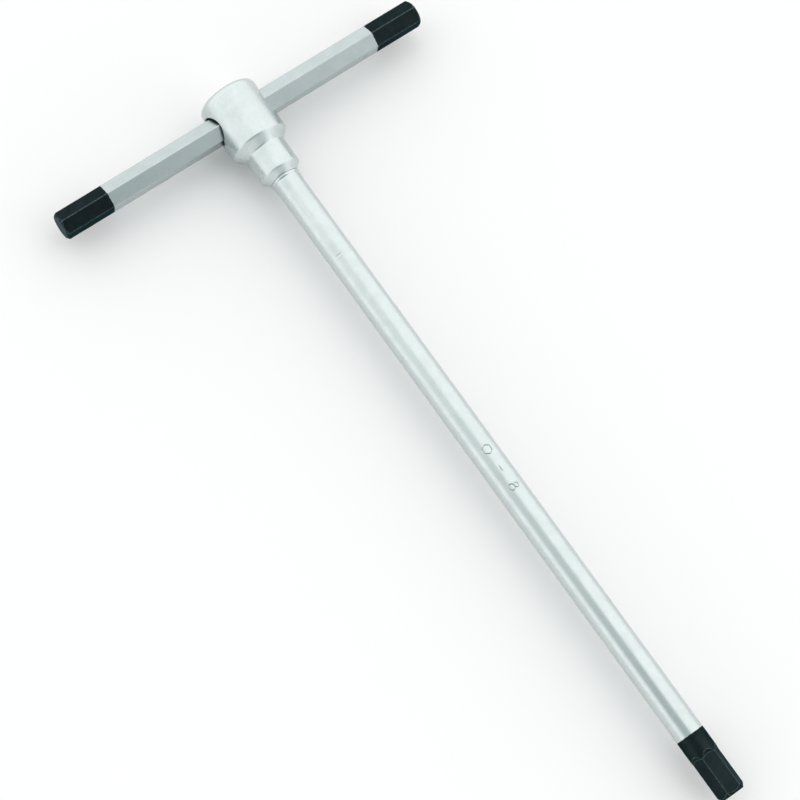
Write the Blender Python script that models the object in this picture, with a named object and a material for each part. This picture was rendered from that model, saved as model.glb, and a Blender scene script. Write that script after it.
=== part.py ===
"""Sliding T-handle hexagon key, 8 mm, with three male hexagon ends.

The tool lies on its back: the shaft runs along Y with its hexagon tip at -Y, the sliding bar
runs along X, and +Z is square to both. A turned head carries the bar in a round cross bore.
Inside the head a sprung ball presses on the bar's lower flat and keeps the bar where it is put.
The origin is under the middle of the tool, on the surface that it lies on.
"""
import math

import bmesh
import bpy
from mathutils import Matrix, Vector

# Hexagon stock, shared by the bar and the shaft's tip
ACROSS_FLATS = 0.0080
ACROSS_CORNERS = 0.0091          # the corners are broken down to the shaft's diameter
HALF_FLATS = ACROSS_FLATS / 2
CORNER_RADIUS = ACROSS_CORNERS / 2
CORNER_ANGLE = math.acos(ACROSS_FLATS / ACROSS_CORNERS)
STEPS_PER_FLAT = 6

# Sliding bar, plain from end to end
BAR_LENGTH = 0.130
BAR_CHAMFER_LENGTH = 0.00075
BAR_END_RADIUS = 0.00375

# Head, measured from the crossing of the bar's axis and the shaft's axis
HEAD_RADIUS = 0.00965
HEAD_TOP = 0.0085
TOP_ROUND = 0.0009
CONE_START = 0.0102
COLLAR_RADIUS = 0.00684
COLLAR_START = 0.0130
COLLAR_END = 0.0213
COLLAR_CHAMFER = 0.0018
HEAD_BOTTOM = 0.0234
BORE_RADIUS = 0.0049
DETENT_BORE_RADIUS = 0.0023
SPIGOT_BORE_RADIUS = 0.0038
SPIGOT_BORE_TOP = 0.0120
HEAD_SEGMENTS = 64
BORE_SEGMENTS = 48

# Shaft, with a spigot that is pressed into the head
GAP = 0.0003
SHAFT_RADIUS = CORNER_RADIUS
TIP_REACH = 0.2495
SPIGOT_RADIUS = SPIGOT_BORE_RADIUS - GAP
SPIGOT_TOP = SPIGOT_BORE_TOP + GAP
SHOULDER = HEAD_BOTTOM + GAP
POCKET_DEPTH = 0.0040
FLATS_START = 0.2358             # where each flat reaches its full depth, on its centre line
RUNOUT_LENGTH = 0.0012
CUTTER_RADIUS = 0.0047           # the flats end in an arc of the milling cutter
TIP_CHAMFER_LENGTH = 0.0014
TIP_END_RADIUS = 0.0036

# Detent: ball against the bar's lower flat, spring in the shaft's pocket
BALL_RADIUS = 0.0020
BALL_CENTRE = HALF_FLATS + GAP + BALL_RADIUS
WIRE_RADIUS = 0.0003
COIL_RADIUS = 0.0016
SPRING_TOP = BALL_CENTRE + 0.00205
SPRING_BOTTOM = SPIGOT_TOP + POCKET_DEPTH - GAP - WIRE_RADIUS
SPRING_TURNS = 5.5
WIRE_SIDES = 8
POINTS_PER_TURN = 14

# Place of the crossing in the part's frame
CROSSING = Vector((0.0, (TIP_REACH - HEAD_TOP) / 2, HEAD_RADIUS * math.cos(math.pi / HEAD_SEGMENTS)))


def clear_scene():
    for item in list(bpy.data.objects):
        bpy.data.objects.remove(item, do_unlink=True)


def material(name, colour, roughness, metallic):
    made = bpy.data.materials.new(name)
    made.use_nodes = True
    shader = made.node_tree.nodes["Principled BSDF"]
    shader.inputs["Base Color"].default_value = (*colour, 1.0)
    shader.inputs["Roughness"].default_value = roughness
    shader.inputs["Metallic"].default_value = metallic
    return made


def add_object(name, bm, finish):
    bmesh.ops.recalc_face_normals(bm, faces=bm.faces)
    mesh = bpy.data.meshes.new(name)
    bm.to_mesh(mesh)
    bm.free()
    mesh.shade_smooth()
    mesh.set_sharp_from_angle(angle=math.radians(30))
    mesh.materials.append(finish)
    made = bpy.data.objects.new(name, mesh)
    bpy.context.collection.objects.link(made)
    return made


def loft(rings, to_point):
    """Join rings of (across, up) points, one per station, into one closed body."""
    bm = bmesh.new()
    rows = [[bm.verts.new(to_point(station, *point)) for point in ring] for station, ring in rings]
    count = len(rows[0])
    for near, far in zip(rows, rows[1:]):
        for i in range(count):
            j = (i + 1) % count
            bm.faces.new((near[i], near[j], far[j], far[i]))
    bm.faces.new(rows[0])
    bm.faces.new(list(reversed(rows[-1])))
    return bm


def along_bar(station, across, up):
    """A point of the bar: station along X, across towards -Y."""
    return (station, -across, up)


def along_shaft(station, across, up):
    """A point of the shaft: station towards the tip, across along X."""
    return (across, -station, up)


def flat_angles():
    """Each flat's middle angle, with the angles across it from corner to corner."""
    for flat in range(6):
        middle = math.radians(60 * flat)
        for step in range(STEPS_PER_FLAT + 1):
            yield middle, CORNER_ANGLE * (2 * step / STEPS_PER_FLAT - 1)


def hexagon_ring(turned_radius, height_at, first_normal):
    """A turned circle with six flats: height_at gives a flat's height at a place across it."""
    ring = []
    for middle, offset in flat_angles():
        height = height_at(HALF_FLATS * math.tan(offset))
        radius = min(turned_radius, height / math.cos(offset))
        angle = first_normal + middle + offset
        ring.append((radius * math.sin(angle), radius * math.cos(angle)))
    return ring


def round_ring(radius):
    return hexagon_ring(radius, lambda across: 2 * radius, 0.0)


def chamfer_radius(distance, length, end_radius):
    """Radius of a conical chamfer at a distance from the end face."""
    if distance >= length:
        return CORNER_RADIUS
    return end_radius + (CORNER_RADIUS - end_radius) * distance / length


def build_bar(finish):
    """Hexagon bar with flats square to the shaft and a corner pointing up."""
    half = BAR_LENGTH / 2
    steps = [BAR_CHAMFER_LENGTH * i / 3 for i in range(4)]
    stations = [(-half + d, d) for d in steps] + [(half - d, d) for d in reversed(steps)]
    rings = []
    for station, distance in stations:
        turned = chamfer_radius(distance, BAR_CHAMFER_LENGTH, BAR_END_RADIUS)
        rings.append((station, hexagon_ring(turned, lambda across: HALF_FLATS, math.pi / 2)))
    made = add_object("t_bar", loft(rings, along_bar), finish)
    made.location = CROSSING
    return made


def runout_height(station, across):
    """Height of a tip flat: full depth, then an arc-shaped ramp up to the round shaft."""
    cutter_centre = FLATS_START + CUTTER_RADIUS
    beyond = math.hypot(across, cutter_centre - station) - CUTTER_RADIUS
    if station >= cutter_centre or beyond <= 0:
        return HALF_FLATS
    return HALF_FLATS + (CORNER_RADIUS - HALF_FLATS) * beyond / RUNOUT_LENGTH


def tip_ring(station):
    turned = chamfer_radius(TIP_REACH - station, TIP_CHAMFER_LENGTH, TIP_END_RADIUS)
    return station, hexagon_ring(turned, lambda across: runout_height(station, across), 0.0)


def build_shaft(finish):
    """Round rod: spring pocket and spigot inside the head, shoulder, then the hexagon tip."""
    pocket_bottom = SPIGOT_TOP + POCKET_DEPTH
    rings = [
        (pocket_bottom, round_ring(DETENT_BORE_RADIUS)),
        (SPIGOT_TOP, round_ring(DETENT_BORE_RADIUS)),
        (SPIGOT_TOP, round_ring(SPIGOT_RADIUS)),
        (SHOULDER, round_ring(SPIGOT_RADIUS)),
        (SHOULDER, round_ring(SHAFT_RADIUS)),
        (FLATS_START - RUNOUT_LENGTH, round_ring(SHAFT_RADIUS)),
    ]
    runout_steps = 5
    for i in range(1, runout_steps + 1):
        rings.append(tip_ring(FLATS_START - RUNOUT_LENGTH * (1 - i / runout_steps)))
    rings.append(tip_ring(FLATS_START + RUNOUT_LENGTH / 2))
    for i in range(4):
        rings.append(tip_ring(TIP_REACH - TIP_CHAMFER_LENGTH * (1 - i / 3)))
    made = add_object("shaft", loft(rings, along_shaft), finish)
    made.location = CROSSING
    return made


def head_outline():
    """The head's section as (radius, distance below the crossing), from its top to its bore."""
    points = [(0.0, -HEAD_TOP)]
    for i in range(4):
        turn = math.radians(90 * i / 3)
        points.append((HEAD_RADIUS - TOP_ROUND * (1 - math.sin(turn)),
                       -HEAD_TOP + TOP_ROUND * (1 - math.cos(turn))))
    points += [
        (HEAD_RADIUS, CONE_START),
        (COLLAR_RADIUS, COLLAR_START),
        (COLLAR_RADIUS, COLLAR_END),
        (COLLAR_RADIUS - COLLAR_CHAMFER, COLLAR_END + COLLAR_CHAMFER),
        (COLLAR_RADIUS - COLLAR_CHAMFER, HEAD_BOTTOM),
        (SPIGOT_BORE_RADIUS, HEAD_BOTTOM),
        (SPIGOT_BORE_RADIUS, SPIGOT_BORE_TOP),
        (DETENT_BORE_RADIUS, SPIGOT_BORE_TOP),
        (DETENT_BORE_RADIUS, 0.0),
        (0.0, 0.0),
    ]
    return points


def build_head(finish):
    """Turned head; the cross bore is cut through it and opens into the detent bore."""
    bm = bmesh.new()
    start = Matrix.Rotation(math.pi / HEAD_SEGMENTS, 4, "Y")
    verts = [bm.verts.new(start @ Vector((radius, -below, 0.0))) for radius, below in head_outline()]
    edges = [bm.edges.new(pair) for pair in zip(verts, verts[1:])]
    bmesh.ops.spin(bm, geom=verts + edges, cent=(0, 0, 0), axis=(0, 1, 0),
                   angle=2 * math.pi, steps=HEAD_SEGMENTS, use_merge=True)
    bmesh.ops.remove_doubles(bm, verts=bm.verts, dist=1e-6)
    head = add_object("head", bm, finish)
    head.location = CROSSING

    cutter_mesh = bmesh.new()
    bmesh.ops.create_cone(cutter_mesh, cap_ends=True, segments=BORE_SEGMENTS, radius1=BORE_RADIUS,
                          radius2=BORE_RADIUS, depth=4 * HEAD_RADIUS,
                          matrix=Matrix.Rotation(math.pi / 2, 4, "Y"))
    cutter = add_object("cross_bore_cutter", cutter_mesh, finish)
    cutter.location = CROSSING
    cutter.hide_render = True
    cutter.display_type = "WIRE"
    cut = head.modifiers.new("cross_bore", "BOOLEAN")
    cut.operation = "DIFFERENCE"
    cut.solver = "EXACT"
    cut.object = cutter
    return head


def build_ball(finish):
    bm = bmesh.new()
    bmesh.ops.create_uvsphere(bm, u_segments=24, v_segments=14, radius=BALL_RADIUS)
    ball = add_object("detent_ball", bm, finish)
    ball.location = CROSSING - Vector((0.0, BALL_CENTRE, 0.0))
    return ball


def build_spring(finish):
    """Compression spring: a round wire swept along a helix about the shaft's axis."""
    bm = bmesh.new()
    steps = round(SPRING_TURNS * POINTS_PER_TURN)
    pitch = (SPRING_BOTTOM - SPRING_TOP) / SPRING_TURNS
    rows = []
    for i in range(steps + 1):
        angle = 2 * math.pi * i / POINTS_PER_TURN
        outward = Vector((math.cos(angle), 0.0, math.sin(angle)))
        below = SPRING_TOP + pitch * i / POINTS_PER_TURN
        centre = outward * COIL_RADIUS - Vector((0.0, below, 0.0))
        forward = Vector((-math.sin(angle), 0.0, math.cos(angle))) * COIL_RADIUS * 2 * math.pi
        forward -= Vector((0.0, pitch, 0.0))
        sideways = forward.normalized().cross(outward)
        row = []
        for side in range(WIRE_SIDES):
            turn = 2 * math.pi * side / WIRE_SIDES
            spoke = outward * math.cos(turn) + sideways * math.sin(turn)
            row.append(bm.verts.new(centre + spoke * WIRE_RADIUS))
        rows.append(row)
    for near, far in zip(rows, rows[1:]):
        for i in range(WIRE_SIDES):
            j = (i + 1) % WIRE_SIDES
            bm.faces.new((near[i], near[j], far[j], far[i]))
    bm.faces.new(rows[0])
    bm.faces.new(list(reversed(rows[-1])))
    spring = add_object("detent_spring", bm, finish)
    spring.location = CROSSING
    return spring


def main():
    clear_scene()
    satin_chrome = material("satin_chrome", (0.78, 0.82, 0.82), 0.32, 1.0)
    bar_chrome = material("bar_chrome", (0.70, 0.75, 0.75), 0.36, 1.0)
    shaft_chrome = material("shaft_chrome", (0.80, 0.83, 0.83), 0.30, 1.0)
    ball_steel = material("ball_steel", (0.72, 0.72, 0.72), 0.12, 1.0)
    spring_steel = material("spring_steel", (0.45, 0.46, 0.48), 0.30, 1.0)
    build_head(satin_chrome)
    build_shaft(shaft_chrome)
    build_bar(bar_chrome)
    build_ball(ball_steel)
    build_spring(spring_steel)


main()
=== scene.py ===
"""Looks of the sliding T-handle hexagon key: satin chrome, black oxide drive ends, size mark.

The head, shaft, bar and spring are remade as smooth, finely rounded meshes on the CAD model's
own places; the detent ball inside the head is the CAD node with a finished material.
"""
import math

import bmesh
import bpy
import numpy as np
from mathutils import Matrix, Vector


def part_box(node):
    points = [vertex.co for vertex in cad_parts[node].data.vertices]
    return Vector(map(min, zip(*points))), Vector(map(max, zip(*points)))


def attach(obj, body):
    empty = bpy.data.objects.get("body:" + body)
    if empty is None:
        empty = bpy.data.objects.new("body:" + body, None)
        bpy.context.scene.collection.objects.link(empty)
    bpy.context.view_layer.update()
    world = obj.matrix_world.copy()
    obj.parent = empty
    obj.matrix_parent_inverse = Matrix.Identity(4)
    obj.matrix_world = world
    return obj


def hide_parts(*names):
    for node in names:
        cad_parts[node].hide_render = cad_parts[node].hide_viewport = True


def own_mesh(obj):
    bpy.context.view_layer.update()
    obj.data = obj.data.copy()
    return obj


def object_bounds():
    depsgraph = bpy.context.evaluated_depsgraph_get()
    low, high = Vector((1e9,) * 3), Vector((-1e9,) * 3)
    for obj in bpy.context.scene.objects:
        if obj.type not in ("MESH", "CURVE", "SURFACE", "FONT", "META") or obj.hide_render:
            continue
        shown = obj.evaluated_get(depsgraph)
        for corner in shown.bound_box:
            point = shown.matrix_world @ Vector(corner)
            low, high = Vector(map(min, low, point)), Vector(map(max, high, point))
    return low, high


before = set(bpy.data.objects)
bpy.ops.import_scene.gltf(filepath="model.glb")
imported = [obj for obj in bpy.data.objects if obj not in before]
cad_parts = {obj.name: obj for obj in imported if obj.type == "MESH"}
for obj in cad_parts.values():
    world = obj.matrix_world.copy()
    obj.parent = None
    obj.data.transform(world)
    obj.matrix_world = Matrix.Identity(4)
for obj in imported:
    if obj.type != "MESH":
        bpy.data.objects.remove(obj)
cad_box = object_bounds()

MM = 0.001

# Places and sizes read from the frame
BAR_LOW, BAR_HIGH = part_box("t_bar")
SHAFT_LOW, SHAFT_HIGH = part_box("shaft")
HEAD_LOW, HEAD_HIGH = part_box("head")
CROSSING = (BAR_LOW + BAR_HIGH) / 2
HALF_FLATS = (BAR_HIGH.y - BAR_LOW.y) / 2
CORNER_REACH = (BAR_HIGH.z - BAR_LOW.z) / 2
BAR_HALF = (BAR_HIGH.x - BAR_LOW.x) / 2
TIP_REACH = CROSSING.y - SHAFT_LOW.y
SPIGOT_TOP = CROSSING.y - SHAFT_HIGH.y
HEAD_SIDES = 64
HEAD_RADIUS = (HEAD_HIGH.x - HEAD_LOW.x) / 2 / math.cos(math.pi / HEAD_SIDES)
HEAD_TOP = HEAD_HIGH.y - CROSSING.y
HEAD_BOTTOM = CROSSING.y - HEAD_LOW.y

# Head, distances below the crossing of the two axes
TOP_ROUND = 1.9 * MM
CONE_START = 10.2 * MM
COLLAR_START = 13.0 * MM
COLLAR_END = 21.3 * MM
COLLAR_RADIUS = 6.84 * MM
NECK_RADIUS = 5.0 * MM
NECK_RIM = 0.25 * MM
NECK_STEP = 0.15 * MM
BORE_RADIUS = 5.0 * MM
MOUTH_ROUND = 0.50 * MM
MOUTH_SHADE = 0.7 * MOUTH_ROUND
DETENT_RADIUS = 2.3 * MM
SPIGOT_RADIUS = 3.5 * MM
SPIGOT_BORE_RADIUS = 3.6 * MM
SPIGOT_BORE_TOP = 12.0 * MM
HEAD_STEP = 0.6 * MM
HEAD_TURN_STEPS = 192
BORE_TURN_STEPS = 144

# Shaft, distances below the crossing of the two axes
SHAFT_RADIUS = 4.55 * MM
POCKET_DEPTH = 4.0 * MM
SHOULDER_RADIUS = 4.70 * MM
BEAD_RADIUS = 4.88 * MM
BEAD_END = 24.45 * MM
BEAD_TAPER = 4.0 * MM
FINE_RING = 53.9 * MM
FINE_RING_DEPTH = 0.030 * MM
FINE_RING_WIDTH = 0.22 * MM
BURR_OFFSET = 0.5 * MM
BURR_HEIGHT = 0.012 * MM
BURR_WIDTH = 0.30 * MM
FLATS_START = 235.8 * MM
RUNOUT_LENGTH = 1.2 * MM
RUNOUT_OVERCUT = 0.06 * MM
CUTTER_RADIUS = 4.7 * MM
SHAFT_BLACK_FROM = 228.7 * MM

# Size marks, cut with a round-bottomed groove
STAMP_MIDDLE = 134.0 * MM
STAMP_HALF = 9.6 * MM
STAMP_HEIGHT = 3.1 * MM
STAMP_GAP = 1.5                                 # in figure heights, as are the widths
HEXAGON_WIDTH = 1.0
DASH_WIDTH = 0.5
EIGHT_WIDTH = 0.64
STAMP_GROOVE = 0.38 * MM
STAMP_DEPTH = 0.14 * MM
BAR_MARK_AT = 43.6 * MM
BAR_MARK_HEIGHT = 1.9 * MM
BAR_MARK_WIDTH = 0.60
BAR_MARK_GROOVE = 0.30 * MM
BAR_MARK_DEPTH = 0.06 * MM

# Detent spring
SPRING_LOW, SPRING_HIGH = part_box("detent_spring")
WIRE_RADIUS = 0.3 * MM
COIL_RADIUS = 1.6 * MM
SPRING_TURNS = 5.5
SPRING_STEPS_PER_TURN = 40
WIRE_SIDES = 16

# Drive ends, shared by the bar and the tip
CHAMFER_LENGTH = {"bar": 0.75 * MM, "tip": 1.4 * MM}
END_RADIUS = {"bar": 3.75 * MM, "tip": 3.6 * MM}
RIDGE_ROUND = {"bar": 0.10 * MM, "tip": 0.05 * MM}
CHAMFER_ROUND = {"bar": 0.05 * MM, "tip": 0.06 * MM}
BAR_CORNER_ROUND = 0.03 * MM
RUNOUT_ROUND = 0.04 * MM
BAR_BLACK_FROM = 48.4 * MM
RIDGE_STEPS = (26.5, 27.5, 28.2, 28.8, 29.4)    # degrees from a flat's middle; the ridge is at 30
SHARP_ANGLE = math.radians(38)
FAR = 1.0

# Wear and painted highlight along the edges of the drive ends; ridge angles in degrees from a flat's
# middle
RIDGE_WEAR_GLINT_FROM = 27.0
RIDGE_WEAR_GLINT_BLEND = 2.0
CHAMFER_WEAR_GLINT = 0.12 * MM
END_WEAR_GLINT = 0.10 * MM
ARC_GLINT = 0.11 * MM
RUNOUT_GLINT = 0.07 * MM
RUNOUT_GLINT_FROM = 0.25 * MM
RUNOUT_HALF_ANGLE = math.radians(22)

# Colours, as linear red, green and blue
DRIVE_CHROME = (0.60, 0.655, 0.655)
BAR_CHROME = (0.490, 0.545, 0.548)
# Painted shade, laid into the bore mouths and the stamped grooves
RECESS_SHADE_COLOUR = (0.20, 0.24, 0.24)
OXIDE_DARK = (0.0105, 0.0165, 0.0175)
OXIDE_PALE = (0.0180, 0.0270, 0.0285)
# Lighter edges on the black oxide: partly wear, partly painted highlight
OXIDE_WEAR_AND_GLINT = (0.085, 0.120, 0.125)
OXIDE_GRAZING = (0.42, 0.50, 0.52)
BALL_STEEL = (0.62, 0.62, 0.61)
SPRING_STEEL = (0.40, 0.41, 0.43)
TABLE_WHITE = (0.95, 0.93, 0.93)
WHITE = (1.0, 1.0, 1.0)
NO_LIGHT = (0.0, 0.0, 0.0)
TENT_LIGHT = (1.39, 1.41, 1.40)
OPENING_LIGHT = (0.24, 0.31, 0.32)

# Studio sky, in parts of a direction from -1 to 1: where each side of the opening fades
OPENING_RIGHT = (-0.19, 0.12)
OPENING_SLANT = 0.46
OPENING_BACK = (-0.14, 0.32)
OPENING_LEFT = (-1.0, -0.72)
OPENING_FOOT = (0.10, 0.60)
OPENING_AT_FOOT = 0.22
TENT_FOOT = (0.0, 0.60)
TENT_AT_FOOT = 0.94

# Grain of the steel, in cycles per metre, and how far it is stretched along its run
DRAWN_GRAIN = 5200
BLASTED_GRAIN = 7000
CLOUD_GRAIN = 260
SMEAR_GRAIN = 900
SCRATCH_GRAIN = 6500
COAT_EDGE_GRAIN = 1400
WEAR_GRAIN = 1700
ALONG_GRAIN = 0.12
SCRATCH_RUN = 0.04

# Relief of the steel, and the line between chrome and black oxide
RELIEF_STRENGTH = 0.16
RELIEF_DEPTH = 0.04 * MM
COAT_EDGE_RAGGED = 0.07 * MM
COAT_EDGE_SOFT = 0.06 * MM

# How far each kind of variation carries over to colour and roughness
CLOUD_TINT = 0.93
CLOUD_DULL = (-0.04, 0.05)
SMEAR_DULL = (-0.03, 0.04)
SCRATCH_POLISH = 0.08
# Strength of the painted shade in the bore mouths and the stamped grooves
RECESS_SHADE_SHARE = 0.75
# Strength of the lighter black-oxide edges, partly wear and partly painted highlight
WEAR_AND_GLINT_SHARE = 0.85
OXIDE_DULL = (0.34, 0.46)

# Camera, from the crossing of the two axes
CAMERA_OFFSET = Vector((-0.1952, -0.2320, 0.7031))
CAMERA_AZIMUTH = math.radians(-54.33)
CAMERA_ELEVATION = math.radians(72.17)
CAMERA_ROLL = math.radians(19.77)
FIELD_OF_VIEW = math.radians(18.22)


# ---------------------------------------------------------------- shapes

def smooth_min(a, b, blend):
    """The smaller of a and b, with the crease between them rounded over about blend."""
    near = np.maximum(blend - np.abs(a - b), 0.0) / blend
    return np.minimum(a, b) - near * near * blend / 4


def mesh_from_rings(name, rings):
    """One closed body from rings of equal length; each ring is an array of points."""
    rings = np.asarray(rings)
    rows, count = rings.shape[:2]
    first = np.arange(rows - 1)[:, None] * count
    here = np.arange(count)[None, :]
    there = (here + 1) % count
    quads = np.stack([first + here, first + there, first + count + there, first + count + here], -1)
    faces = quads.reshape(-1, 4).tolist()
    faces.append(list(range(count)))
    faces.append(list(reversed(range((rows - 1) * count, rows * count))))
    mesh = bpy.data.meshes.new(name)
    mesh.from_pydata(rings.reshape(-1, 3).tolist(), [], faces)
    bm = bmesh.new()
    bm.from_mesh(mesh)
    bmesh.ops.recalc_face_normals(bm, faces=bm.faces)
    bm.to_mesh(mesh)
    bm.free()
    return mesh


def add_piece(name, mesh, body, node):
    """Puts a finished mesh in the scene as the visual of one CAD node, riding on its body."""
    mesh.shade_smooth()
    mesh.set_sharp_from_angle(angle=SHARP_ANGLE)
    piece = bpy.data.objects.new(name, mesh)
    bpy.context.scene.collection.objects.link(piece)
    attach(piece, body)
    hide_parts(node)
    return piece


def rounded_outline(corners, steps=6):
    """Points of a polyline whose corners, given as (radius, below, fillet), are rounded."""
    points = [np.array(corners[0][:2])]
    for before, here, after in zip(corners, corners[1:], corners[2:]):
        corner, fillet = np.array(here[:2]), here[2]
        if fillet == 0:
            points.append(corner)
            continue
        back = np.array(before[:2]) - corner
        ahead = np.array(after[:2]) - corner
        back /= np.linalg.norm(back)
        ahead /= np.linalg.norm(ahead)
        half = math.acos(float(np.clip(back @ ahead, -1, 1))) / 2
        reach = fillet / math.tan(half)
        middle = (back + ahead) / np.linalg.norm(back + ahead)
        centre = corner + middle * (fillet / math.sin(half))
        start = corner + back * reach - centre
        end = corner + ahead * reach - centre
        sweep = math.pi - 2 * half
        for step in range(steps + 1):
            t = step / steps
            spoke = (start * math.sin((1 - t) * sweep) + end * math.sin(t * sweep)) / math.sin(sweep)
            points.append(centre + spoke)
    points.append(np.array(corners[-1][:2]))
    return points


# ---------------------------------------------------------------- stamped size mark

def ellipse(x, y, across, up):
    """Closed stroke round a centre, in glyph units where a figure is 1 high."""
    turn = np.linspace(0, 2 * math.pi, 33)
    return np.stack([x + across * np.cos(turn), y + up * np.sin(turn)], -1)


def glyph_eight():
    """Figure 8 as two strokes, the lower bowl a little larger."""
    return [ellipse(0.32, 0.29, 0.32, 0.29), ellipse(0.32, 0.80, 0.25, 0.22)]


def glyph_dash():
    """Dash at half height."""
    return [np.array([(0.0, 0.5), (0.5, 0.5)])]


def glyph_hexagon():
    """Hexagon outline, the sign for this drive."""
    turn = np.radians(np.arange(0, 361, 60))
    return [np.stack([0.5 + 0.5 * np.cos(turn), 0.5 + 0.5 * np.sin(turn)], -1)]


def lay_out(glyphs, height):
    """Strokes of glyphs set side by side, centred on (0, 0). Glyphs are (strokes, width, gap)."""
    total = sum(width + gap for _, width, gap in glyphs)
    pen = -total / 2
    strokes = []
    for shape, width, gap in glyphs:
        strokes += [(stroke + (pen, -0.5)) * height for stroke in shape]
        pen += width + gap
    return strokes


def stroke_distance(across, along, strokes):
    """Distance of each place to the nearest stroke."""
    place = np.stack([across, along], -1)
    nearest = np.full(across.shape, FAR)
    for stroke in strokes:
        for a, b in zip(stroke, stroke[1:]):
            run = b - a
            t = np.clip(((place - a) @ run) / (run @ run), 0, 1)
            nearest = np.minimum(nearest, np.linalg.norm(place - a - t[..., None] * run, axis=-1))
    return nearest


def groove(distance, width, depth):
    """Depth of a round-bottomed groove at a distance from its middle."""
    t = np.clip(distance / (width / 2), 0, 1)
    return depth * (1 - t * t * (3 - 2 * t))


# ---------------------------------------------------------------- hexagon stock

def hexagon_angles(dense_flat, dense_steps, steps=9):
    """Angles round the stock, closer together at the corners and across one flat."""
    angles = []
    for flat in range(6):
        count = dense_steps if flat == dense_flat else steps
        offsets = [*np.linspace(-25, 25, count), *RIDGE_STEPS, 30.0, *(-step for step in RIDGE_STEPS)]
        angles += [60 * flat + offset for offset in offsets]
    return np.radians(np.array(sorted(a % 360 for a in angles)))


def hexagon_radius(angles, heights, round_over):
    """Radius of a hexagon whose six flats stand at the given heights from the axis."""
    radius = np.full(angles.shape, FAR)
    for flat, height in enumerate(heights):
        facing = np.cos(angles - math.radians(60 * flat))
        reach = np.where(facing > 0.3, height / np.maximum(facing, 0.3), FAR)
        radius = smooth_min(radius, reach, round_over)
    return radius


def end_chamfer(distance, end):
    """Turned radius near an end face: a cone that runs out into the full corner reach."""
    slope = (CORNER_REACH - END_RADIUS[end]) / CHAMFER_LENGTH[end]
    return END_RADIUS[end] + slope * max(distance, 0.0)


def wear_and_glint_weight(angles, distance, end, length):
    """1 on the corner ridges and where the end chamfer meets the flats, 0 on the flats: worn edges
    that are partly painted highlight lines.
    """
    offset = np.abs((np.degrees(angles) + 30) % 60 - 30)
    ridge = np.clip((offset - RIDGE_WEAR_GLINT_FROM) / RIDGE_WEAR_GLINT_BLEND, 0, 1)
    reach = np.minimum(HALF_FLATS / np.cos(np.radians(offset)), CORNER_REACH)
    meets = CHAMFER_LENGTH[end] * (reach - END_RADIUS[end]) / (CORNER_REACH - END_RADIUS[end])
    rim = np.exp(-((distance - meets) / CHAMFER_WEAR_GLINT) ** 2)
    end_rim = math.exp(-(distance / END_WEAR_GLINT) ** 2)
    fade = 1.0 if distance < length else 0.0
    return np.maximum(ridge, np.maximum(rim, end_rim) * fade)


def store(mesh, name, values):
    """Keeps one number per vertex on the mesh, for its material to read."""
    layer = mesh.attributes.new(name, "FLOAT", "POINT")
    layer.data.foreach_set("value", np.asarray(values, np.float32).ravel())


def end_stations(length):
    """Distances from an end face, close together over its chamfer."""
    return np.concatenate([[0.0, 0.03, 0.08], np.arange(0.15, length / MM, 0.1)]) * MM


# ---------------------------------------------------------------- bar

def build_bar():
    """Hexagon bar: flats square to the shaft, rounded corner ridges, chamfered ends."""
    angles = hexagon_angles(dense_flat=0, dense_steps=41)
    full = np.full(angles.shape, 1.0)
    near_end = end_stations(1.6 * MM)
    mark = np.arange(BAR_MARK_AT - 1.0 * MM, BAR_MARK_AT + 1.0 * MM, 0.06 * MM)
    inner = np.arange(-60, 61, 5) * MM
    inner = inner[np.abs(inner - BAR_MARK_AT) > 1.5 * MM]
    stations = np.concatenate([near_end - BAR_HALF, np.sort(np.concatenate([inner, mark])),
                               (BAR_HALF - near_end)[::-1]])
    strokes = lay_out([(glyph_eight(), BAR_MARK_WIDTH, 0.0)], BAR_MARK_HEIGHT)
    rings, edges, recess_shade = [], [], []
    for x in stations:
        distance = BAR_HALF - abs(x)
        radius = hexagon_radius(angles, [HALF_FLATS] * 6, RIDGE_ROUND["bar"])
        radius = smooth_min(radius, full * CORNER_REACH, BAR_CORNER_ROUND)
        radius = smooth_min(radius, full * end_chamfer(distance, "bar"), CHAMFER_ROUND["bar"])
        across = radius * np.sin(angles)
        outward = radius * np.cos(angles)
        on_flat = outward > HALF_FLATS - 0.01 * MM
        from_mark = stroke_distance(full * (x - BAR_MARK_AT), across, strokes)
        sunk = groove(from_mark, BAR_MARK_GROOVE, BAR_MARK_DEPTH)
        sunk = np.where(on_flat, sunk, 0.0)
        outward = outward - sunk
        rings.append(np.stack([full * x + CROSSING.x, CROSSING.y - outward, CROSSING.z + across], -1))
        # Edge weight: worn edges and painted highlight lines along the ridges and chamfer rims
        edges.append(wear_and_glint_weight(angles, distance, "bar", 3 * MM))
        # Painted shade in the mark's groove, darker where it is cut deeper
        recess_shade.append(sunk / BAR_MARK_DEPTH)
    mesh = mesh_from_rings("sliding_bar", rings)
    store(mesh, "wear_and_glint", edges)
    store(mesh, "recess_shade", recess_shade)
    return add_piece("sliding_bar", mesh, "bar", "t_bar")


# ---------------------------------------------------------------- shaft

def tip_heights(below, across):
    """Height of one tip flat at each place across it, with the milled ramp at its start."""
    centre = FLATS_START + CUTTER_RADIUS
    beyond = np.hypot(across, centre - below) - CUTTER_RADIUS
    ramp = (SHAFT_RADIUS + RUNOUT_OVERCUT - HALF_FLATS) * beyond / RUNOUT_LENGTH
    ramp = np.where(below >= centre, 0.0, np.maximum(ramp, 0.0))
    return HALF_FLATS + ramp


def tip_radius(angles, below):
    """Radius of the milled tip: its six flats and their ramps."""
    radius = np.full(angles.shape, FAR)
    for flat in range(6):
        offset = angles - math.radians(60 * flat)
        facing = np.cos(offset)
        across = np.where(facing > 0.5, HALF_FLATS * np.tan(offset), 0.0)
        reach = np.where(facing > 0.5, tip_heights(below, across) / np.maximum(facing, 0.5), FAR)
        radius = smooth_min(radius, reach, RIDGE_ROUND["tip"])
    return radius


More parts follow.
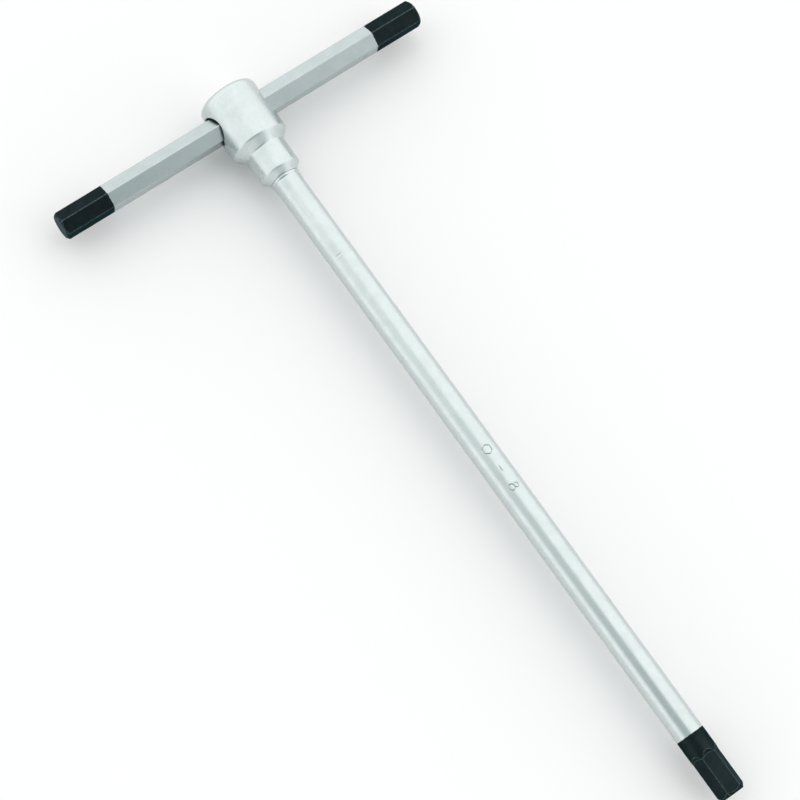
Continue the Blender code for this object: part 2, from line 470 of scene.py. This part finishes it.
def runout_glints(angles, below):
    """1 on the two fine edges of each ramp, a painted highlight: the arc at the flat and the line on
    the rod.
    """
    offset = (angles + math.pi / 6) % (math.pi / 3) - math.pi / 6
    across = HALF_FLATS * np.tan(offset)
    centre = FLATS_START + CUTTER_RADIUS
    if below >= centre:
        return 0 * angles
    beyond = np.hypot(across, centre - below) - CUTTER_RADIUS
    arc = np.exp(-(beyond / ARC_GLINT) ** 2)
    reach = tip_heights(below, across) / np.cos(offset)
    line = np.exp(-((reach - SHAFT_RADIUS) / RUNOUT_GLINT) ** 2)
    inside = (beyond > RUNOUT_GLINT_FROM) & (np.abs(offset) < RUNOUT_HALF_ANGLE)
    return np.maximum(arc, np.where(inside, line, 0.0))


def shaft_outline():
    """Top of the shaft as rings of (radius, below): pocket, spigot, shoulder bead, taper."""
    corners = [
        (DETENT_RADIUS, SPIGOT_TOP + POCKET_DEPTH, 0),
        (DETENT_RADIUS, SPIGOT_TOP, 0.10 * MM),
        (SPIGOT_RADIUS, SPIGOT_TOP, 0.20 * MM),
        (SPIGOT_RADIUS, HEAD_BOTTOM, 0),
        (SHOULDER_RADIUS, HEAD_BOTTOM + 0.02 * MM, 0),
        (SHOULDER_RADIUS + 0.02 * MM, HEAD_BOTTOM + 0.18 * MM, 0.05 * MM),
        (BEAD_RADIUS, HEAD_BOTTOM + 0.25 * MM, 0.12 * MM),
        (BEAD_RADIUS - 0.05 * MM, BEAD_END - 0.25 * MM, 0.30 * MM),
        (SHAFT_RADIUS + 0.10 * MM, BEAD_END, 0.06 * MM),
        (SHAFT_RADIUS + 0.13 * MM, BEAD_END + 0.25 * MM, 0.20 * MM),
        (SHAFT_RADIUS, BEAD_END + BEAD_TAPER, 0),
    ]
    return rounded_outline(corners, steps=5)


def shaft_stations():
    """Distances below the crossing, close together at the ring, the stamp and the tip."""
    plain = np.arange(30, 225, 5) * MM
    plain = plain[(np.abs(plain - STAMP_MIDDLE) > STAMP_HALF + MM)
                  & (np.abs(plain - FINE_RING) > 2 * MM)]
    ring = FINE_RING + np.arange(-1.2, 1.25, 0.1) * MM
    stamp = np.arange(STAMP_MIDDLE - STAMP_HALF, STAMP_MIDDLE + STAMP_HALF, 0.075 * MM)
    before_flats = [228 * MM, 231 * MM]
    ramp = np.arange(FLATS_START - 1.5 * MM, FLATS_START + 0.9 * MM, 0.1 * MM)
    along_flats = [240 * MM, 244 * MM]
    tip = TIP_REACH - end_stations(2.4 * MM)[::-1]
    return np.sort(np.concatenate([plain, ring, stamp, before_flats, ramp, along_flats, tip]))


def rod_radius(below):
    """Radius of the plain rod, with the fine ring and the burr beside it."""
    ring = ((below - FINE_RING) / FINE_RING_WIDTH) ** 2
    burr = ((below - FINE_RING - BURR_OFFSET) / BURR_WIDTH) ** 2
    return SHAFT_RADIUS - FINE_RING_DEPTH * math.exp(-ring) + BURR_HEIGHT * math.exp(-burr)


def build_shaft():
    """Round rod with a shoulder bead at the head, the stamped size and the milled tip."""
    angles = hexagon_angles(dense_flat=0, dense_steps=71)
    full = np.full(angles.shape, 1.0)
    size = [(glyph_hexagon(), HEXAGON_WIDTH, STAMP_GAP),
            (glyph_dash(), DASH_WIDTH, STAMP_GAP),
            (glyph_eight(), EIGHT_WIDTH, 0.0)]
    strokes = lay_out(size, STAMP_HEIGHT)
    rings, edges, recess_shade = [], [], []

    def add_ring(radius, below, weight, painted_shade):
        """Adds one ring round the shaft, with its share of worn edge and painted highlight, and of
        painted shade.
        """
        rings.append(np.stack([CROSSING.x + radius * np.sin(angles),
                               np.full(angles.shape, CROSSING.y - below),
                               CROSSING.z + radius * np.cos(angles)], -1))
        edges.append(weight)
        recess_shade.append(painted_shade)

    for radius, below in shaft_outline():
        add_ring(full * radius, below, 0 * full, 0 * full)
    for below in shaft_stations():
        radius = full * rod_radius(below)
        sunk = 0 * full
        if abs(below - STAMP_MIDDLE) <= STAMP_HALF:
            around = (angles + math.pi) % (2 * math.pi) - math.pi
            distance = stroke_distance(full * (below - STAMP_MIDDLE), around * SHAFT_RADIUS, strokes)
            sunk = groove(distance, STAMP_GROOVE, STAMP_DEPTH)
            radius = radius - sunk
        weight = 0 * full
        if below > FLATS_START - 1.6 * MM:
            radius = smooth_min(tip_radius(angles, below), radius, RUNOUT_ROUND)
            distance = TIP_REACH - below
            radius = smooth_min(radius, full * end_chamfer(distance, "tip"), CHAMFER_ROUND["tip"])
            start = np.clip((below - FLATS_START) / (0.5 * MM), 0, 1)
            weight = wear_and_glint_weight(angles, distance, "tip", 4 * MM) * start
            # Painted highlight glints along the edges of the milled ramps
            weight = np.maximum(weight, runout_glints(angles, below))
        # The stamped grooves get painted shade, darker where they are cut deeper
        add_ring(radius, below, weight, sunk / STAMP_DEPTH)
    mesh = mesh_from_rings("shaft_rod", rings)
    store(mesh, "wear_and_glint", edges)
    store(mesh, "recess_shade", recess_shade)
    return add_piece("shaft_rod", mesh, "drive", "shaft")


# ---------------------------------------------------------------- head

def bore_cutter():
    """Cross bore whose mouths flare along the head's curved side, so their rims are round."""
    turn = np.linspace(0, 2 * math.pi, BORE_TURN_STEPS + 1)[:-1]
    mouth = np.sqrt(HEAD_RADIUS ** 2 - (BORE_RADIUS * np.sin(turn)) ** 2)
    fall = BORE_RADIUS * np.sin(turn) ** 2 / mouth
    side = [(np.full(turn.shape, 2.0 * MM), np.full(turn.shape, BORE_RADIUS))]
    for t in np.linspace(0, 1, 6):
        inner, outer = (1 - t) ** 2, t * t
        x = mouth - inner * MOUTH_ROUND - outer * fall * MOUTH_ROUND + outer * 0.012 * MM
        side.append((x, BORE_RADIUS + outer * MOUTH_ROUND))
    side.append((np.full(turn.shape, HEAD_RADIUS + 4 * MM),
                 np.full(turn.shape, BORE_RADIUS + MOUTH_ROUND)))
    rings = []
    for sign, profile in ((-1, reversed(side)), (1, side)):
        for x, radius in profile:
            rings.append(np.stack([CROSSING.x + sign * x, CROSSING.y + radius * np.cos(turn),
                                   CROSSING.z + radius * np.sin(turn)], -1))
    cutter = bpy.data.objects.new("bore_cutter", mesh_from_rings("bore_cutter", rings))
    bpy.context.scene.collection.objects.link(cutter)
    return cutter


def head_outline():
    """Outline of the head as (radius, below), outside first, then the bores inside."""
    corners = [
        (0.0, -HEAD_TOP, 0),
        (HEAD_RADIUS, -HEAD_TOP, TOP_ROUND),
        (HEAD_RADIUS, CONE_START, 0.45 * MM),
        (COLLAR_RADIUS, COLLAR_START, 0.50 * MM),
        (COLLAR_RADIUS, COLLAR_END, 0.30 * MM),
        (NECK_RADIUS, HEAD_BOTTOM - NECK_RIM, 0.12 * MM),
        (NECK_RADIUS - NECK_STEP, HEAD_BOTTOM, 0.05 * MM),
        (SPIGOT_BORE_RADIUS, HEAD_BOTTOM, 0),
        (SPIGOT_BORE_RADIUS, SPIGOT_BORE_TOP, 0),
        (DETENT_RADIUS, SPIGOT_BORE_TOP, 0),
        (DETENT_RADIUS, 0.0, 0),
        (0.0, 0.0, 0),
    ]
    return rounded_outline(corners, steps=7)


def head_blank():
    """The head turned from its outline, before the cross bore."""
    outline = head_outline()
    finer = [outline[0]]
    for a, b in zip(outline, outline[1:]):
        count = max(1, math.ceil(abs(b[1] - a[1]) / HEAD_STEP))
        finer += [a + (b - a) * (step + 1) / count for step in range(count)]
    bm = bmesh.new()
    verts = [bm.verts.new((radius, -below, 0.0)) for radius, below in finer]
    edges = [bm.edges.new(pair) for pair in zip(verts, verts[1:])]
    bmesh.ops.spin(bm, geom=verts + edges, cent=(0, 0, 0), axis=(0, 1, 0), angle=2 * math.pi,
                   steps=HEAD_TURN_STEPS, use_merge=True)
    bmesh.ops.remove_doubles(bm, verts=bm.verts, dist=1e-6)
    bmesh.ops.recalc_face_normals(bm, faces=bm.faces)
    bmesh.ops.translate(bm, verts=bm.verts, vec=CROSSING)
    mesh = bpy.data.meshes.new("head_blank")
    bm.to_mesh(mesh)
    bm.free()
    blank = bpy.data.objects.new("head_blank", mesh)
    bpy.context.scene.collection.objects.link(blank)
    return blank


def build_head():
    """Turned head with rounded rims; the cross bore is cut out of it."""
    blank = head_blank()
    cutter = bore_cutter()
    cut = blank.modifiers.new("cross_bore", "BOOLEAN")
    cut.operation = "DIFFERENCE"
    cut.solver = "EXACT"
    cut.object = cutter
    evaluated = blank.evaluated_get(bpy.context.evaluated_depsgraph_get())
    finished = bpy.data.meshes.new_from_object(evaluated)
    finished.name = "turned_head"
    bpy.data.objects.remove(blank)
    bpy.data.objects.remove(cutter)

    places = np.empty(len(finished.vertices) * 3, np.float32)
    finished.vertices.foreach_get("co", places)
    off = places.reshape(-1, 3) - np.array(CROSSING)
    from_bar_axis = np.hypot(off[:, 1], off[:, 2])
    # Painted shade: the rounded bore mouths and the bore wall inside them darkened
    inside_mouth = (BORE_RADIUS + MOUTH_ROUND - from_bar_axis) / MOUTH_SHADE
    store(finished, "recess_shade", np.clip(inside_mouth, 0, 1))
    piece = add_piece("turned_head", finished, "drive", "head")
    weighted = piece.modifiers.new("normals", "WEIGHTED_NORMAL")
    weighted.keep_sharp = True
    return piece


# ---------------------------------------------------------------- spring

def build_spring():
    """Round wire on a helix in the shaft's pocket."""
    steps = round(SPRING_TURNS * SPRING_STEPS_PER_TURN)
    angle = np.linspace(0, 2 * math.pi * SPRING_TURNS, steps + 1)
    top, bottom = SPRING_HIGH.y - WIRE_RADIUS, SPRING_LOW.y + WIRE_RADIUS
    outward = np.stack([np.cos(angle), 0 * angle, np.sin(angle)], -1)
    middle = outward * COIL_RADIUS
    middle[:, 1] = np.linspace(top, bottom, steps + 1)
    middle += (CROSSING.x, 0.0, CROSSING.z)
    forward = np.gradient(middle, axis=0)
    forward /= np.linalg.norm(forward, axis=1)[:, None]
    sideways = np.cross(forward, outward)
    turn = np.linspace(0, 2 * math.pi, WIRE_SIDES + 1)[:-1]
    spokes = (outward[:, None] * np.cos(turn)[None, :, None]
              + sideways[:, None] * np.sin(turn)[None, :, None])
    mesh = mesh_from_rings("coil_spring", middle[:, None] + spokes * WIRE_RADIUS)
    spring = add_piece("coil_spring", mesh, "drive", "detent_spring")
    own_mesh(spring)
    return spring


# ---------------------------------------------------------------- materials

def add_node(tree, kind, **settings):
    """A new node of a kind, with its properties set."""
    node = tree.nodes.new(kind)
    for name, value in settings.items():
        setattr(node, name, value)
    return node


def noise(tree, place, scale, detail=3.0, roughness=0.5, stretch=None):
    """Noise whose grain is about 1 / scale metres; stretch scales its three directions."""
    if stretch is not None:
        mapping = add_node(tree, "ShaderNodeMapping")
        mapping.inputs["Scale"].default_value = stretch
        tree.links.new(place, mapping.inputs["Vector"])
        place = mapping.outputs["Vector"]
    made = add_node(tree, "ShaderNodeTexNoise")
    made.inputs["Scale"].default_value = scale
    made.inputs["Detail"].default_value = detail
    made.inputs["Roughness"].default_value = roughness
    tree.links.new(place, made.inputs["Vector"])
    return made.outputs["Fac"]


def map_range(tree, value, low, high, to_low, to_high, smooth=False):
    """Value from low...high carried over to to_low...to_high, and held at both ends."""
    made = add_node(tree, "ShaderNodeMapRange")
    made.interpolation_type = "SMOOTHSTEP" if smooth else "LINEAR"
    limits = {"From Min": low, "From Max": high, "To Min": to_low, "To Max": to_high}
    for name, number in limits.items():
        made.inputs[name].default_value = number
    tree.links.new(value, made.inputs["Value"])
    return made.outputs["Result"]


def math_node(tree, operation, a, b):
    """One sum, product or the like of two numbers or sockets."""
    made = add_node(tree, "ShaderNodeMath", operation=operation)
    for socket, value in zip(made.inputs, (a, b)):
        if isinstance(value, (int, float)):
            socket.default_value = value
        else:
            tree.links.new(value, socket)
    return made.outputs[0]


def mix_colour(tree, factor, a, b):
    """Colour that goes from a to b as the factor goes from 0 to 1."""
    made = add_node(tree, "ShaderNodeMix", data_type="RGBA")
    for socket, value in ((made.inputs[0], factor), (made.inputs[6], a), (made.inputs[7], b)):
        if isinstance(value, tuple):
            socket.default_value = (*value, 1.0)
        elif isinstance(value, (int, float)):
            socket.default_value = value
        else:
            tree.links.new(value, socket)
    return made.outputs[2]


def mix_value(tree, factor, a, b):
    """Number that goes from a to b as the factor goes from 0 to 1."""
    made = add_node(tree, "ShaderNodeMix", data_type="FLOAT")
    for socket, value in ((made.inputs[0], factor), (made.inputs[2], a), (made.inputs[3], b)):
        if isinstance(value, (int, float)):
            socket.default_value = value
        else:
            tree.links.new(value, socket)
    return made.outputs[0]


def metal(name):
    """A new metallic material, with its node tree, its shader and the object's coordinates."""
    material = bpy.data.materials.new(name)
    material.use_nodes = True
    tree = material.node_tree
    shader = tree.nodes["Principled BSDF"]
    shader.inputs["Metallic"].default_value = 1.0
    place = add_node(tree, "ShaderNodeTexCoord").outputs["Object"]
    return material, tree, shader, place


def surface_relief(tree, shader, place, fine, grain):
    """Fine bump of drawn lines and of a blasted surface, whose share is grain."""
    drawn = noise(tree, place, DRAWN_GRAIN, detail=4, roughness=0.6, stretch=fine)
    blasted = noise(tree, place, BLASTED_GRAIN, detail=2)
    height = math_node(tree, "ADD", math_node(tree, "MULTIPLY", drawn, 0.5),
                       math_node(tree, "MULTIPLY", blasted, grain))
    bump = add_node(tree, "ShaderNodeBump")
    bump.inputs["Strength"].default_value = RELIEF_STRENGTH
    bump.inputs["Distance"].default_value = RELIEF_DEPTH
    tree.links.new(height, bump.inputs["Height"])
    tree.links.new(bump.outputs["Normal"], shader.inputs["Normal"])


def coated_share(tree, place, along, coat_edge):
    """0 on bare chrome and 1 on black oxide, with a slightly ragged line between them."""
    axes = add_node(tree, "ShaderNodeSeparateXYZ")
    tree.links.new(place, axes.inputs[0])
    middle = CROSSING.x if along == 0 else CROSSING.y
    off = math_node(tree, "SUBTRACT", axes.outputs[along], middle)
    if along == 0:
        reach = math_node(tree, "ABSOLUTE", off, 0.0)
    else:
        reach = math_node(tree, "MULTIPLY", off, -1.0)
    wander = map_range(tree, noise(tree, place, COAT_EDGE_GRAIN, detail=3),
                       0.3, 0.7, -COAT_EDGE_RAGGED, COAT_EDGE_RAGGED)
    ragged = math_node(tree, "ADD", reach, wander)
    return map_range(tree, ragged, coat_edge - COAT_EDGE_SOFT, coat_edge + COAT_EDGE_SOFT,
                     0.0, 1.0, smooth=True)


def chrome(name, along, tint, dull, grain, coat_edge=None):
    """Satin chrome on drawn or turned steel, with black oxide past coat_edge where one is given.

    along is the piece's axis, 0 for X and 1 for Y. coat_edge is the distance from the crossing
    along that axis where the black starts.
    """
    material, tree, shader, place = metal(name)
    fine = [1.0, 1.0, 1.0]
    fine[along] = ALONG_GRAIN
    clouds = noise(tree, place, CLOUD_GRAIN, detail=4, roughness=0.6)
    smears = noise(tree, place, SMEAR_GRAIN, detail=3, roughness=0.7, stretch=fine)
    scratch_run = [1.0, 1.0, 1.0]
    scratch_run[1 - along] = SCRATCH_RUN
    scratches = noise(tree, place, SCRATCH_GRAIN, detail=1, stretch=scratch_run)
    scratch = map_range(tree, scratches, 0.70, 0.76, 0.0, 1.0)
    surface_relief(tree, shader, place, fine, grain)

    cloudy = map_range(tree, clouds, 0.3, 0.7, 0.0, 1.0)
    silver = mix_colour(tree, cloudy, tint, tuple(CLOUD_TINT * c for c in tint))
    # Painted shade: darker where the per-vertex mask marks the bore mouths and the stamped grooves
    painted_shade = add_node(tree, "ShaderNodeAttribute", attribute_name="recess_shade").outputs["Fac"]
    silver = mix_colour(tree, map_range(tree, painted_shade, 0.1, 0.9, 0.0, RECESS_SHADE_SHARE), silver, RECESS_SHADE_COLOUR)
    cloud_dull = map_range(tree, clouds, 0.25, 0.75, dull + CLOUD_DULL[0], dull + CLOUD_DULL[1])
    smear_dull = map_range(tree, smears, 0.3, 0.7, *SMEAR_DULL)
    polish = math_node(tree, "MULTIPLY", scratch, SCRATCH_POLISH)
    silver_rough = math_node(tree, "ADD", cloud_dull, smear_dull)
    silver_rough = math_node(tree, "SUBTRACT", silver_rough, polish)
    if coat_edge is None:
        tree.links.new(silver, shader.inputs["Base Color"])
        tree.links.new(silver_rough, shader.inputs["Roughness"])
        return material

    coat = coated_share(tree, place, along, coat_edge)
    # Lighter ridges, chamfer rims and ramp edges on the black oxide: partly wear, partly painted
    # highlight
    wear_and_glint = add_node(tree, "ShaderNodeAttribute", attribute_name="wear_and_glint").outputs["Fac"]
    patchy = map_range(tree, noise(tree, place, WEAR_GRAIN, detail=4), 0.35, 0.65, 0.25, 1.0)
    patchy_wear_and_glint = math_node(tree, "MULTIPLY", wear_and_glint, patchy)
    black = mix_colour(tree, cloudy, OXIDE_DARK, OXIDE_PALE)
    black = mix_colour(tree, math_node(tree, "MULTIPLY", patchy_wear_and_glint, WEAR_AND_GLINT_SHARE), black, OXIDE_WEAR_AND_GLINT)
    black_rough = map_range(tree, smears, 0.3, 0.7, *OXIDE_DULL)
    tree.links.new(mix_colour(tree, coat, silver, black), shader.inputs["Base Color"])
    tree.links.new(mix_value(tree, coat, silver_rough, black_rough), shader.inputs["Roughness"])
    tree.links.new(mix_colour(tree, coat, WHITE, OXIDE_GRAZING), shader.inputs["Specular Tint"])
    return material


def inner_steel(name, colour, dull, scale):
    """Plain steel for the pieces inside the head, with a light cloudiness of the given grain."""
    material, tree, shader, place = metal(name)
    clouds = noise(tree, place, scale, detail=4)
    tree.links.new(mix_colour(tree, clouds, colour, tuple(0.85 * c for c in colour)),
                   shader.inputs["Base Color"])
    tree.links.new(map_range(tree, clouds, 0.3, 0.7, dull - 0.04, dull + 0.06),
                   shader.inputs["Roughness"])
    return material


def give_material(mesh, material):
    """Makes a material the only one on a mesh."""
    mesh.materials.clear()
    mesh.materials.append(material)


# ---------------------------------------------------------------- studio

def build_floor():
    """Pale table that the tool lies on, 6 m square."""
    half = 3.0
    mesh = bpy.data.meshes.new("table")
    low = cad_box[0].z - 0.02 * MM
    mesh.from_pydata([(-half, -half, low), (half, -half, low), (half, half, low), (-half, half, low)],
                     [], [(0, 1, 2, 3)])
    floor = bpy.data.objects.new("table", mesh)
    bpy.context.scene.collection.objects.link(floor)
    material = bpy.data.materials.new("table_white")
    material.use_nodes = True
    shader = material.node_tree.nodes["Principled BSDF"]
    shader.inputs["Base Color"].default_value = (*TABLE_WHITE, 1.0)
    shader.inputs["Roughness"].default_value = 0.9
    shader.inputs["Specular IOR Level"].default_value = 0.0
    mesh.materials.append(material)


def build_world():
    """Soft studio: a bright tent all round, with a dimmer opening high up towards -X and -Y.

    x, y and z are the three parts of a direction in the sky, from -1 to 1.
    """
    world = bpy.data.worlds.new("studio")
    bpy.context.scene.world = world
    world.use_nodes = True
    tree = world.node_tree
    background = tree.nodes["Background"]
    way = add_node(tree, "ShaderNodeTexCoord").outputs["Generated"]
    axes = add_node(tree, "ShaderNodeSeparateXYZ")
    tree.links.new(way, axes.inputs[0])
    x, y, z = axes.outputs[0], axes.outputs[1], axes.outputs[2]
    slant = math_node(tree, "ADD", x, math_node(tree, "MULTIPLY", y, OPENING_SLANT))
    right = map_range(tree, slant, *OPENING_RIGHT, 1.0, 0.0, smooth=True)
    back = map_range(tree, y, *OPENING_BACK, 1.0, 0.0, smooth=True)
    left = map_range(tree, x, *OPENING_LEFT, 0.0, 1.0, smooth=True)
    raised = map_range(tree, z, *OPENING_FOOT, OPENING_AT_FOOT, 1.0, smooth=True)
    opening = math_node(tree, "MULTIPLY", math_node(tree, "MULTIPLY", right, back),
                        math_node(tree, "MULTIPLY", left, raised))
    low = map_range(tree, z, *TENT_FOOT, TENT_AT_FOOT, 1.0, smooth=True)
    bright = mix_colour(tree, low, NO_LIGHT, TENT_LIGHT)
    tree.links.new(mix_colour(tree, opening, bright, OPENING_LIGHT), background.inputs["Color"])
    background.inputs["Strength"].default_value = 1.0


def build_camera():
    """Camera at its place beside and above the crossing, aimed by its three angles."""
    forward = Vector((-math.sin(CAMERA_AZIMUTH) * math.cos(CAMERA_ELEVATION),
                      math.cos(CAMERA_AZIMUTH) * math.cos(CAMERA_ELEVATION),
                      -math.sin(CAMERA_ELEVATION)))
    level = forward.cross(Vector((0, 0, 1))).normalized()
    upright = level.cross(forward)
    right = level * math.cos(CAMERA_ROLL) + upright * math.sin(CAMERA_ROLL)
    up = right.cross(forward)
    data = bpy.data.cameras.new("camera")
    data.lens = data.sensor_width / 2 / math.tan(FIELD_OF_VIEW / 2)
    camera = bpy.data.objects.new("camera", data)
    bpy.context.scene.collection.objects.link(camera)
    camera.matrix_world = Matrix.Translation(CROSSING + CAMERA_OFFSET) @ Matrix(
        (right, up, -forward)).transposed().to_4x4()
    bpy.context.scene.camera = camera


# ---------------------------------------------------------------- assembly

head = build_head()
shaft = build_shaft()
bar = build_bar()
spring = build_spring()
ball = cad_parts["detent_ball"]
give_material(head.data, chrome("head_chrome", 1, DRIVE_CHROME, dull=0.27, grain=0.9))
give_material(shaft.data, chrome("shaft_chrome", 1, DRIVE_CHROME, dull=0.26, grain=0.6,
                                 coat_edge=SHAFT_BLACK_FROM))
give_material(bar.data, chrome("bar_chrome", 0, BAR_CHROME, dull=0.30, grain=1.6,
                               coat_edge=BAR_BLACK_FROM))
give_material(ball.data, inner_steel("ball_steel", BALL_STEEL, dull=0.12, scale=900))
give_material(spring.data, inner_steel("spring_steel", SPRING_STEEL, dull=0.30, scale=3000))
build_floor()
build_world()
build_camera()
bpy.context.scene.view_settings.view_transform = "Standard"
